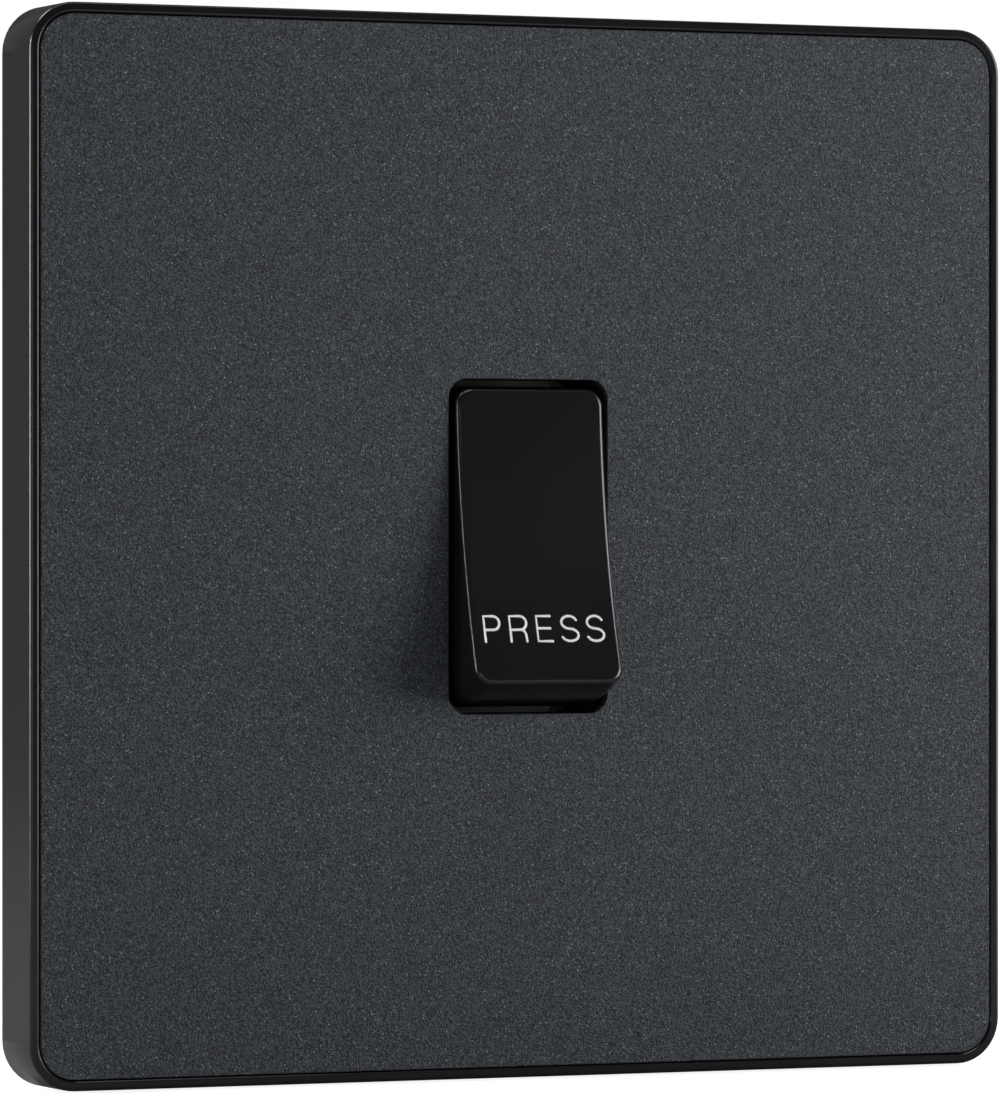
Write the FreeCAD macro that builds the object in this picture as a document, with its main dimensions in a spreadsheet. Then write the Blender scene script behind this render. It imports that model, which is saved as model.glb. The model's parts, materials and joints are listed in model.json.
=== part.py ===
import FreeCAD, Part
import math
import os
import re

import Sketcher
from FreeCAD import Placement, Rotation, Vector

# Push button light switch: a screwless clip-on wall plate with one retractive rocker in the middle.
# Millimetres. The origin is the middle of the two fixing screws on the wall. +X is to the right,
# +Z is up, +Y goes into the wall, and every height is measured from the wall towards the room (-Y).

# Driving dimensions, one cell of the sheet each
SIZES = {
    # how far a feature runs into the one it joins, and how far a cut runs past a face
    "weld": 0.2,
    "cut_margin": 0.1,
    # moulded surround, which clips over the yoke
    "plate_side": 93.0,
    "plate_corner": 4.1,
    "plate_height": 7.05,
    "rim_width": 0.87,
    "rim_round": 0.3,
    "skirt_wall": 1.7,
    "web_thickness": 1.2,
    "aperture_gap": 0.3,
    "rib_width": 1.2,
    "rib_corner": 0.3,
    "rib_gap": 0.3,
    "upright_rib_place": 19.0,
    "cross_rib_margin": 3.6,
    "notch_width": 8.0,
    "notch_height": 1.2,
    "clip_inset": 9.5,
    "clip_place_z": 20.0,
    "clip_arm": 1.2,
    "clip_width": 8.0,
    "clip_barb": 0.7,
    "clip_play": 0.1,
    "clip_room": 0.3,
    # painted metal face plate in the surround's recess
    "insert_thickness": 0.8,
    "insert_gap": 0.1,
    "insert_drop": 0.05,
    "opening_width": 15.2,
    "opening_height": 29.3,
    "opening_corner": 1.7,
    # pressed steel yoke and its two fixing screws
    "yoke_inset": 4.5,
    "yoke_corner": 3.0,
    "yoke_sheet": 1.2,
    "yoke_bend": 0.6,
    "yoke_lift": 1.5,
    "fixing_centres": 60.3,
    "fixing_slot_width": 4.2,
    "fixing_slot_length": 7.0,
    "fixing_shank_radius": 1.75,
    "fixing_neck_radius": 1.45,
    "fixing_neck_reach": 0.5,
    "fixing_screw_length": 25.0,
    "fixing_head_radius": 3.3,
    "fixing_head_height": 1.8,
    "fixing_head_flat": 1.8,
    "fixing_head_side": 0.8,
    "fixing_point_length": 0.9,
    "fixing_point_radius": 1.05,
    "fixing_slot_depth": 1.1,
    "fixing_driver_slot": 1.0,
    # front moulding of the switch module
    "module_width": 24.0,
    "module_length": 38.0,
    "module_corner": 1.5,
    "window_gap": 0.2,
    "bezel_step": 0.05,
    "bezel_gap": 0.1,
    "cheek_wall": 3.0,
    "collar_end_wall": 2.0,
    "collar_corner": 2.0,
    "flange_overhang": 1.5,
    "flange_thickness": 1.3,
    "bezel_depth": 1.0,
    "catch_size": 0.8,
    "catch_length": 6.0,
    "catch_place": 11.0,
    "catch_play": 0.1,
    # rocker, on trunnions in the front moulding's cheeks
    "pivot_height": 4.4,
    "rest_tilt": 10.2,
    "rocker_side_gap": 0.55,
    "rocker_end_gap": 0.6,
    "rocker_front": 5.4,
    "rocker_skirt": 2.0,
    "rocker_dish": 0.93,
    "rocker_wall": 1.3,
    "rocker_corner": 1.5,
    "rocker_edge": 0.5,
    "trunnion_radius": 1.2,
    "trunnion_engagement": 2.05,
    "trunnion_end_gap": 0.2,
    "running_gap": 0.05,
    # sprung plunger in the rocker's tube
    "tube_radius": 2.3,
    "tube_end": 7.0,
    "tube_rib": 1.0,
    "plunger_radius": 1.4,
    "plunger_back": 3.2,
    "plunger_gap": 0.12,
    "plunger_spigot_radius": 0.8,
    "plunger_spigot_length": 1.2,
    "plunger_spring_seat": 1.5,
    "plunger_spring_wire": 0.15,
    "plunger_spring_gap": 0.1,
    "plunger_spring_pitch": 0.75,
    # coil spring that brings the rocker back
    "return_spring_inset": 5.25,
    "return_spring_radius": 2.0,
    "return_spring_wire": 0.22,
    "return_spring_length": 10.9,
    "return_spring_pitch": 1.55,
    "return_seat_height": -2.0,
    "return_seat_thickness": 1.4,
    "return_seat_width": 5.2,
    "spring_peg_radius": 1.4,
    "spring_peg_length": 0.9,
    # tilting contact and the contact tips
    "strip_place": 7.25,
    "strip_thickness": 0.7,
    "strip_width": 5.0,
    "strip_corner": 1.25,
    "strip_reach": 8.6,
    "contact_angle": 5.0,
    "tip_radius": 1.4,
    "tip_place": 7.2,
    "moving_tip_height": 0.7,
    "fixed_tip_height": 0.6,
    "tip_gap": 0.05,
    # brass terminals
    "tongue_thickness": 0.85,
    "tongue_width": 4.0,
    "tongue_margin": 0.8,
    "blade_corner": 0.1,
    "blade_edge": 0.35,
    "leg_inset": 0.2,
    "leg_play": 0.15,
    "ear_gap": 0.4,
    "ear_thickness": 0.8,
    "ear_width": 2.0,
    "ear_height": 3.0,
    "terminal_pitch": 13.5,
    "terminal_length": 8.0,
    "terminal_width": 7.0,
    "terminal_height": 7.2,
    "terminal_edge": 0.4,
    "wire_radius": 1.9,
    "wire_floor": 0.8,
    "clamp_radius": 1.6,
    "clamp_play": 0.03,
    "clamp_tip_gap": 0.2,
    "clamp_stand": 0.6,
    "clamp_head_radius": 2.5,
    "clamp_head_height": 1.5,
    "clamp_driver_slot": 0.8,
    # rear moulding of the switch module
    "chamber_side_wall": 2.0,
    "chamber_end_wall": 4.0,
    "chamber_corner": 1.0,
    "floor_thickness": 1.6,
    "cradle_wall": 1.4,
    "cradle_gap": 0.1,
    "post_side_gap": 0.1,
    "post_top_drop": 0.6,
    "post_root": 3.0,
    "case_screw_radius": 1.0,
    "case_screw_inset_x": 2.4,
    "case_screw_inset_z": 2.1,
    "case_screw_reach": 3.4,
    "case_screw_end_gap": 0.4,
    "case_screw_slot": 0.6,
    "case_slot_corner": 0.15,
    "case_screw_head_radius": 1.9,
    "case_screw_head_height": 1.2,
    "case_screw_play": 0.05,
    # earth terminal riveted to the yoke
    "earth_place_x": -23.0,
    "earth_place_z": -23.0,
    "earth_height": 8.0,
    "earth_wire_floor": 1.6,
    "rivet_radius": 1.5,
    "rivet_head_radius": 2.4,
    "rivet_head_height": 0.6,
}

# Values that follow from the driving dimensions
DERIVED = {
    # heights over the wall
    "insert_front": "plate_height - insert_drop",
    "insert_back": "insert_front - insert_thickness",
    "web_back": "insert_back - web_thickness",
    "yoke_front": "yoke_lift + yoke_sheet",
    "bezel_front": "insert_back - bezel_gap",
    "flange_front": "yoke_front + flange_thickness",
    # surround, face plate and yoke
    "recess_side": "plate_side - 2 * rim_width",
    "recess_corner": "plate_corner - rim_width",
    "insert_side": "recess_side - 2 * insert_gap",
    "insert_corner": "recess_corner - insert_gap",
    "skirt_inside": "plate_side - 2 * skirt_wall",
    "skirt_corner": "plate_corner - skirt_wall",
    "yoke_side": "plate_side - 2 * yoke_inset",
    "tray_inside": "yoke_side - 2 * yoke_sheet",
    "tray_corner": "yoke_corner - yoke_sheet",
    "window_width": "module_width + 2 * window_gap",
    "window_length": "module_length + 2 * window_gap",
    "window_corner": "module_corner + window_gap",
    "clip_place_x": "plate_side / 2 - clip_inset",
    "clip_window": "clip_arm + clip_room",
    "cross_rib_place": "cross_rib_margin + rivet_head_radius - earth_place_z",
    "fixing_neck_length": "yoke_sheet + fixing_neck_reach",
    # front moulding
    "bore_width": "opening_width + 2 * bezel_step",
    "bore_length": "opening_height + 2 * bezel_step",
    "bore_corner": "opening_corner + bezel_step",
    "collar_width": "bore_width + 2 * cheek_wall",
    "collar_length": "bore_length + 2 * collar_end_wall",
    "flange_width": "module_width + 2 * flange_overhang",
    "flange_length": "module_length + 2 * flange_overhang",
    "cheek_inside": "bore_width / 2",
    "socket_radius": "trunnion_radius + running_gap",
    "trunnion_end": "cheek_inside + trunnion_engagement",
    "socket_end": "trunnion_end + trunnion_end_gap",
    # rocker and plunger, from the pivot
    "rocker_width": "opening_width - 2 * rocker_side_gap",
    "rocker_end_radius": "opening_height / 2 - rocker_end_gap",
    "return_spring_place": "rocker_end_radius - return_spring_inset",
    "rocker_half_length": "sqrt(rocker_end_radius ^ 2 - rocker_front ^ 2)",
    "dish_radius": "(rocker_half_length ^ 2 + rocker_dish ^ 2) / (2 * rocker_dish)",
    "skirt_half_length": "sqrt(rocker_end_radius ^ 2 - rocker_skirt ^ 2)",
    "hollow_end_radius": "rocker_end_radius - rocker_wall",
    "hollow_front": "rocker_front - rocker_wall",
    "hollow_half_length": "sqrt(hollow_end_radius ^ 2 - hollow_front ^ 2)",
    "hollow_skirt_half": "sqrt(hollow_end_radius ^ 2 - rocker_skirt ^ 2)",
    "hollow_width": "rocker_width - 2 * rocker_wall",
    "dish_floor": "hollow_front - rocker_dish",
    "plunger_bore": "plunger_radius + running_gap",
    "strip_front": "strip_place - strip_thickness",
    "plunger_tip": "pivot_height + strip_front - plunger_gap",
    "plunger_spring_outer": "plunger_bore - plunger_spring_gap",
    # contacts, as depths behind the wall
    "tip_face_depth": "strip_place + moving_tip_height * cos(contact_angle)"
                      " + (tip_place + tip_radius) * sin(contact_angle)",
    "fixed_tip_front": "tip_face_depth + tip_gap",
    "tongue_front": "fixed_tip_front + fixed_tip_height",
    "floor_front": "tongue_front + tongue_thickness",
    "floor_back": "floor_front + floor_thickness",
    "terminal_back": "floor_back + terminal_height",
    "wire_depth": "floor_back + wire_floor + wire_radius",
    "terminal_near": "terminal_pitch - terminal_width / 2",
    "common_place": "fixing_shank_radius + wire_radius",
    "leg_near": "terminal_near + leg_inset",
    "leg_far": "leg_near + tongue_thickness",
    "tongue_near": "tip_place - tip_radius - tongue_margin",
    "ear_near": "strip_width / 2 + ear_gap",
    "ear_far": "ear_near + ear_thickness",
    # rear moulding
    "chamber_width": "module_width - 2 * chamber_side_wall",
    "chamber_length": "module_length - 2 * chamber_end_wall",
    "case_screw_place_x": "module_width / 2 - case_screw_inset_x",
    "case_screw_place_z": "module_length / 2 - case_screw_inset_z",
    "cradle_inside": "terminal_width + 2 * cradle_gap",
    "cradle_outside": "cradle_inside + 2 * cradle_wall",
    "cradle_spine": "terminal_length / 2 + cradle_gap",
    "spine_back": "cradle_spine + cradle_wall",
    "spine_length": "2 * terminal_pitch + cradle_outside",
    "post_near": "cheek_inside + post_side_gap",
    "post_far": "socket_end - post_side_gap",
    "return_seat_front": "-return_seat_height",
}

# Places that lie nearer than this are the same place, and a cut smaller than this removes nothing
CLOSE = 1e-4

doc = FreeCAD.newDocument("LightSwitch")
sheet = doc.addObject("Spreadsheet::Sheet", "Sizes")


def fill_sheet():
    """Write the driving dimensions and what follows from them, one row each, and name the cells."""
    row = 0
    for name, size in SIZES.items():
        row += 1
        sheet.set(f"A{row}", str(size))
        sheet.setAlias(f"A{row}", name)
    for name, formula in DERIVED.items():
        row += 1
        sheet.set(f"A{row}", f"={formula}")
        sheet.setAlias(f"A{row}", name)
    doc.recompute()


def linked(formula):
    """The same formula with each name pointing at its cell in the sheet."""

    def cell(match):
        word = match.group(0)
        return f"Sizes.{word}" if word in SIZES or word in DERIVED else word

    return re.sub(r"[a-z_]+", cell, formula)


def value(formula):
    return float(sheet.evalExpression(linked(formula)))


def bind(thing, path, formula):
    thing.setExpression(path, linked(formula))


def origin_feature(body, role):
    return next(part for part in body.Origin.OriginFeatures if part.Role == role)


def new_body(label):
    body = doc.addObject("PartDesign::Body", label)
    body.Label = label
    return body


def new_sketch(body, plane, offset="0"):
    """A sketch on one of the body's own planes, moved along its normal: XZ faces the room, YZ faces +X."""
    sketch = body.newObject("Sketcher::SketchObject", "Sketch")
    sketch.AttachmentSupport = [(origin_feature(body, plane + "_Plane"), "")]
    sketch.MapMode = "FlatFace"
    bind(sketch, "AttachmentOffset.Base.z", offset)
    return sketch


def constrain(sketch, kind, *points, size=None):
    """Add a constraint, driven by the sheet where it has a size."""
    if size is None:
        return sketch.addConstraint(Sketcher.Constraint(kind, *points))
    index = sketch.addConstraint(Sketcher.Constraint(kind, *points, value(size)))
    bind(sketch, f"Constraints[{index}]", size)
    return index


def fix_point(sketch, geometry, point, across, up):
    """Hold a point at a driven distance from the sketch's origin, or on its axis where that is zero."""
    for formula, kind, axis in ((across, "DistanceX", -2), (up, "DistanceY", -1)):
        if formula == "0":
            constrain(sketch, "PointOnObject", geometry, point, axis)
        else:
            constrain(sketch, kind, -1, 1, geometry, point, size=formula)


def add_rounded(sketch, width, height, corner, across="0", up="0"):
    """A rectangle with round corners about the point (across, up)."""
    half_w = value(width) / 2
    half_h = value(height) / 2
    radius = value(corner)
    middle = Vector(value(across), value(up), 0)
    quarter = math.pi / 2
    first = sketch.GeometryCount
    for turn, (sign_x, sign_y) in enumerate(((1, 1), (-1, 1), (-1, -1), (1, -1))):
        centre = middle + Vector(sign_x * (half_w - radius), sign_y * (half_h - radius), 0)
        circle = Part.Circle(centre, Vector(0, 0, 1), radius)
        sketch.addGeometry(Part.ArcOfCircle(circle, turn * quarter, (turn + 1) * quarter), False)
    for side in range(4):
        start = sketch.getPoint(first + side, 2)
        end = sketch.getPoint(first + (side + 1) % 4, 1)
        line = sketch.addGeometry(Part.LineSegment(start, end), False)
        constrain(sketch, "Tangent", first + side, 2, line, 1)
        constrain(sketch, "Tangent", line, 2, first + (side + 1) % 4, 1)
        if side:
            constrain(sketch, "Equal", first, first + side)
    for side, kind in enumerate(("Horizontal", "Vertical", "Horizontal")):
        constrain(sketch, kind, first + 4 + side)
    constrain(sketch, "Radius", first, size=corner)
    for corner_arc, sign in ((first, "+"), (first + 2, "-")):
        centre_x = f"{across} {sign} (({width}) / 2 - ({corner}))"
        centre_y = f"{up} {sign} (({height}) / 2 - ({corner}))"
        constrain(sketch, "DistanceX", -1, 1, corner_arc, 3, size=centre_x)
        constrain(sketch, "DistanceY", -1, 1, corner_arc, 3, size=centre_y)


def add_outline(sketch, points):
    """A closed outline through driven points. A third entry is the radius of the arc to the next point,
    and a fourth is the side its middle lies on, as a point of the sketch."""
    places = [Vector(value(point[0]), value(point[1]), 0) for point in points]
    first = sketch.GeometryCount
    for index, point in enumerate(points):
        start, end = places[index], places[(index + 1) % len(points)]
        if len(point) > 2:
            towards = Vector(*[value(part) for part in point[3]], 0)
            radius, chord = value(point[2]), end - start
            rise = radius - max(radius ** 2 - (chord.Length / 2) ** 2, 0) ** 0.5
            across = Vector(chord.y, -chord.x, 0).normalize()
            middle = (start + end) / 2
            if across.dot(towards - middle) < 0:
                across = -across
            sketch.addGeometry(Part.Arc(start, middle + across * rise, end), False)
        else:
            sketch.addGeometry(Part.LineSegment(start, end), False)
    ends = []
    for index in range(len(points)):
        geometry = first + index
        closest = sketch.getPoint(geometry, 1).distanceToPoint(places[index])
        ends.append((1, 2) if closest < CLOSE else (2, 1))
    for index, point in enumerate(points):
        following = (index + 1) % len(points)
        constrain(sketch, "Coincident", first + index, ends[index][1], first + following, ends[following][0])
        fix_point(sketch, first + index, ends[index][0], point[0], point[1])
        if len(point) > 2:
            constrain(sketch, "Radius", first + index, size=point[2])


def add_box_outline(sketch, left, right, low, high):
    add_outline(sketch, [(left, low), (right, low), (right, high), (left, high)])


def add_circle(sketch, radius, across="0", up="0"):
    centre = Vector(value(across), value(up), 0)
    circle = sketch.addGeometry(Part.Circle(centre, Vector(0, 0, 1), value(radius)), False)
    constrain(sketch, "Radius", circle, size=radius)
    fix_point(sketch, circle, 3, across, up)


def add_slot(sketch, width, length, across="0"):
    """An upright slot with round ends."""
    radius, rise = value(width) / 2, (value(length) - value(width)) / 2
    ends = []
    for sign in (1, -1):
        circle = Part.Circle(Vector(value(across), sign * rise, 0), Vector(0, 0, 1), radius)
        start = 0 if sign == 1 else math.pi
        ends.append(sketch.addGeometry(Part.ArcOfCircle(circle, start, start + math.pi), False))
    for arc, following in (ends, ends[::-1]):
        start, end = sketch.getPoint(arc, 2), sketch.getPoint(following, 1)
        side = sketch.addGeometry(Part.LineSegment(start, end), False)
        constrain(sketch, "Tangent", arc, 2, side, 1)
        constrain(sketch, "Tangent", side, 2, following, 1)
    constrain(sketch, "Radius", ends[0], size=f"({width}) / 2")
    constrain(sketch, "Equal", *ends)
    fix_point(sketch, ends[0], 3, across, f"({length} - {width}) / 2")
    fix_point(sketch, ends[1], 3, across, f"-({length} - {width}) / 2")


def pad(body, sketch, length, both_ways=False):
    """Material from the sketch along its normal, or half to each side."""
    feature = body.newObject("PartDesign::Pad", "Pad")
    feature.Profile = sketch
    feature.SideType = "Symmetric" if both_ways else "One side"
    bind(feature, "Length", length)
    doc.recompute()
    return feature


def pocket(body, sketch, length, both_ways=False):
    """A cut from the sketch along its normal, or half to each side."""
    feature = body.newObject("PartDesign::Pocket", "Pocket")
    feature.Profile = sketch
    feature.Reversed = True
    feature.SideType = "Symmetric" if both_ways else "One side"
    bind(feature, "Length", length)
    doc.recompute()
    return feature


def dress(body, kind, size, wanted):
    """Fillet or Chamfer the tip's edges that pass the test."""
    tip = body.Tip
    names = [f"Edge{index}" for index, edge in enumerate(tip.Shape.Edges, 1) if wanted(edge)]
    feature = body.newObject(f"PartDesign::{kind}", kind)
    feature.Base = (tip, names)
    bind(feature, "Radius" if kind == "Fillet" else "Size", size)
    doc.recompute()
    return feature


def revolve(body, points):
    """A turned solid about the body's Y axis, from an outline of radius and depth."""
    sketch = new_sketch(body, "XY")
    add_outline(sketch, points)
    feature = body.newObject("PartDesign::Revolution", "Revolution")
    feature.Profile = sketch
    feature.ReferenceAxis = (sketch, ["V_Axis"])
    doc.recompute()
    return feature


def coil(body, mean_radius, wire, pitch, length):
    """A coil spring about the body's Y axis, with its first turn at the origin."""
    sketch = new_sketch(body, "XY")
    add_circle(sketch, wire, mean_radius, wire)
    feature = body.newObject("PartDesign::AdditiveHelix", "Coil")
    feature.Profile = sketch
    feature.ReferenceAxis = (origin_feature(body, "Y_Axis"), [""])
    feature.Mode = 0
    bind(feature, "Pitch", pitch)
    bind(feature, "Height", f"{length} - 2 * {wire}")
    doc.recompute()
    return feature


def place(body, across="0", depth="0", up="0"):
    bind(body, "Placement.Base.x", across)
    bind(body, "Placement.Base.y", depth)
    bind(body, "Placement.Base.z", up)


def place_on_pivot(body, depth, angle, axis):
    """Set a moving piece on its pivot line, turned to where it rests."""
    body.Placement = Placement(Vector(0, 0, 0), Rotation(axis, 1))
    bind(body, "Placement.Base.y", depth)
    bind(body, "Placement.Rotation.Angle", f"{angle} * 1 deg")


def lies_at(edge, axis, place_on_axis):
    """Whether the whole edge lies in the plane across this axis."""
    box = edge.BoundBox
    low, high = getattr(box, axis + "Min"), getattr(box, axis + "Max")
    return abs(low - place_on_axis) < CLOSE and abs(high - place_on_axis) < CLOSE


def make_trim_frame():
    """The moulded surround: rim, recess for the face plate, web, skirt, ribs and four snap clips."""
    body = new_body("trim_frame")
    outer = new_sketch(body, "XZ")
    add_rounded(outer, "plate_side", "plate_side", "plate_corner")
    pad(body, outer, "plate_height")
    dress(body, "Fillet", "rim_round", lambda edge: lies_at(edge, "Y", -value("plate_height")))
    recess = new_sketch(body, "XZ", "insert_back")
    add_rounded(recess, "recess_side", "recess_side", "recess_corner")
    pocket(body, recess, "plate_height - insert_back")
    hollow = new_sketch(body, "XZ")
    add_rounded(hollow, "skirt_inside", "skirt_inside", "skirt_corner")
    pocket(body, hollow, "web_back")
    aperture = new_sketch(body, "XZ", "web_back")
    clear_width = "collar_width + 2 * aperture_gap"
    clear_length = "collar_length + 2 * aperture_gap"
    add_rounded(aperture, clear_width, clear_length, "collar_corner + aperture_gap")
    pocket(body, aperture, "web_thickness")
    rib_end = "yoke_front + rib_gap"
    for sign in ("", "-"):
        upright = new_sketch(body, "XZ", rib_end)
        add_rounded(upright, "rib_width", "skirt_inside + weld", "rib_corner", f"{sign}upright_rib_place")
        pad(body, upright, f"web_back + weld - ({rib_end})")
        across = new_sketch(body, "XZ", rib_end)
        add_rounded(across, "skirt_inside + weld", "rib_width", "rib_corner", "0", f"{sign}cross_rib_place")
        pad(body, across, f"web_back + weld - ({rib_end})")
    for side in ("", "-"):
        for end in ("", "-"):
            add_clip(body, side, end)
    notch = new_sketch(body, "XZ")
    below, above = "-plate_side / 2 - cut_margin", "cut_margin - skirt_inside / 2"
    add_box_outline(notch, "-notch_width / 2", "notch_width / 2", below, above)
    pocket(body, notch, "notch_height")


def add_clip(body, side, end):
    """One snap clip: an arm from the web through the yoke's window, with a barb behind the sheet."""
    barb_root = "yoke_lift - clip_play"
    arm = new_sketch(body, "XZ", f"{barb_root} - 2 * clip_barb")
    low, high = f"{end}clip_place_z - clip_width / 2", f"{end}clip_place_z + clip_width / 2"
    near, far = f"{side}clip_place_x - clip_arm / 2", f"{side}clip_place_x + clip_arm / 2"
    add_box_outline(arm, near, far, low, high)
    pad(body, arm, f"web_back + weld - ({barb_root} - 2 * clip_barb)")
    barb = new_sketch(body, "XY", low)
    root = f"{side}(clip_place_x + clip_arm / 2)"
    inner, tip = f"{side}(clip_place_x)", f"{side}(clip_place_x + clip_arm / 2 + clip_barb)"
    add_outline(
        barb,
        [
            (inner, f"-({barb_root})"),
            (tip, f"-({barb_root})"),
            (tip, f"-({barb_root} - clip_barb / 2)"),
            (root, f"-({barb_root} - 2 * clip_barb)"),
            (inner, f"-({barb_root} - 2 * clip_barb)"),
        ],
    )
    pad(body, barb, "clip_width")


def make_face_plate():
    """The flat metal face with the rocker's opening."""
    body = new_body("face_plate")
    sheet_outline = new_sketch(body, "XZ", "insert_back")
    add_rounded(sheet_outline, "insert_side", "insert_side", "insert_corner")
    add_rounded(sheet_outline, "opening_width", "opening_height", "opening_corner")
    pad(body, sheet_outline, "insert_thickness")


def make_yoke():
    """The pressed steel tray that the screws hold to the box: the module and the surround snap into it."""
    body = new_body("mounting_yoke")
    tray = new_sketch(body, "XZ")
    add_rounded(tray, "yoke_side", "yoke_side", "yoke_corner")
    pad(body, tray, "yoke_front")
    dress(body, "Fillet", "yoke_bend", lambda edge: lies_at(edge, "Y", -value("yoke_front")))
    hollow = new_sketch(body, "XZ")
    add_rounded(hollow, "tray_inside", "tray_inside", "tray_corner")
    pocket(body, hollow, "yoke_lift")
    window = new_sketch(body, "XZ", "yoke_lift")
    add_rounded(window, "window_width", "window_length", "window_corner")
    add_circle(window, "rivet_radius", "earth_place_x", "earth_place_z")
    pocket(body, window, "yoke_sheet")
    for side in ("", "-"):
        slot = new_sketch(body, "XZ", "yoke_lift")
        add_slot(slot, "fixing_slot_width", "fixing_slot_length", f"{side}fixing_centres / 2")
        pocket(body, slot, "yoke_sheet")
        for end in ("", "-"):
            clip_hole = new_sketch(body, "XZ", "yoke_lift")
            width, length = "clip_window + clip_room", "clip_width + 2 * clip_room"
            add_rounded(clip_hole, width, length, "clip_room", f"{side}clip_place_x", f"{end}clip_place_z")
            pocket(body, clip_hole, "yoke_sheet")


def make_fixing_screw(label, side):
    """A raised-head screw into the box's lug, along +Y, waisted under the head so that it stays captive."""
    body = new_body(label)
    revolve(
        body,
        [
            ("0", "0"),
            ("0", "-fixing_head_height"),
            ("fixing_head_flat", "-fixing_head_height"),
            ("fixing_head_radius", "-fixing_head_side"),
            ("fixing_head_radius", "0"),
            ("fixing_neck_radius", "0"),
            ("fixing_neck_radius", "fixing_neck_length"),
            ("fixing_shank_radius", "fixing_neck_length"),
            ("fixing_shank_radius", "fixing_screw_length - fixing_point_length"),
            ("fixing_point_radius", "fixing_screw_length"),
            ("0", "fixing_screw_length"),
            ("0", "fixing_screw_length / 2"),
        ],
    )
    cross = new_sketch(body, "XZ", "fixing_head_height - fixing_slot_depth")
    past = "(fixing_head_radius + cut_margin)"
    add_box_outline(cross, f"-{past}", past, "-fixing_driver_slot / 2", "fixing_driver_slot / 2")
    pocket(body, cross, "fixing_slot_depth + cut_margin")
    place(body, f"{side}fixing_centres / 2", "-yoke_front")


def case_screw_places():
    """Where the four screws go that join the two mouldings, as formulas."""
    corners = (("", ""), ("-", ""), ("", "-"), ("-", "-"))
    return [(f"{side}case_screw_place_x", f"{end}case_screw_place_z") for side, end in corners]


def make_bezel():
    """The module's front moulding: collar round the rocker, flange on the yoke, catches and open sockets."""
    body = new_body("switch_bezel")
    trunk = new_sketch(body, "XZ", "-bezel_depth")
    add_rounded(trunk, "module_width", "module_length", "module_corner")
    pad(body, trunk, "bezel_depth + flange_front")
    flange = new_sketch(body, "XZ", "yoke_front")
    add_rounded(flange, "flange_width", "flange_length", "module_corner")
    pad(body, flange, "flange_thickness")
    collar = new_sketch(body, "XZ", "yoke_front")
    add_rounded(collar, "collar_width", "collar_length", "collar_corner")
    pad(body, collar, "bezel_front - yoke_front")
    bore = new_sketch(body, "XZ", "-bezel_depth")
    add_rounded(bore, "bore_width", "bore_length", "bore_corner")
    pocket(body, bore, "bezel_depth + bezel_front")
    for side in ("", "-"):
        for end in ("", "-"):
            catch = new_sketch(body, "XY", f"{end}catch_place - catch_length / 2")
            root, tip = f"{side}(module_width / 2 - catch_size)", f"{side}(module_width / 2 + catch_size)"
            hook = "yoke_lift - catch_play"
            add_outline(
                catch,
                [
                    (root, f"-({hook})"),
                    (tip, f"-({hook})"),
                    (tip, f"-({hook} - catch_size / 2)"),
                    (root, "bezel_depth / 2"),
                ],
            )
            pad(body, catch, "catch_length")
        socket_near = "cheek_inside - weld" if side == "" else "-socket_end"
        socket = new_sketch(body, "YZ", socket_near)
        add_outline(
            socket,
            [
                ("-pivot_height", "-socket_radius"),
                ("bezel_depth + cut_margin", "-socket_radius"),
                ("bezel_depth + cut_margin", "socket_radius"),
                ("-pivot_height", "socket_radius"),
            ],
        )
        pocket(body, socket, "socket_end - cheek_inside + weld")
        seat = new_sketch(body, "YZ", socket_near)
        add_circle(seat, "socket_radius", "-pivot_height")
        pocket(body, seat, "socket_end - cheek_inside + weld")
    pilots = new_sketch(body, "XZ", "-bezel_depth")
    for across, up in case_screw_places():
        add_circle(pilots, "case_screw_radius + case_screw_play", across, up)
    pocket(body, pilots, "bezel_depth + case_screw_reach")


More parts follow.
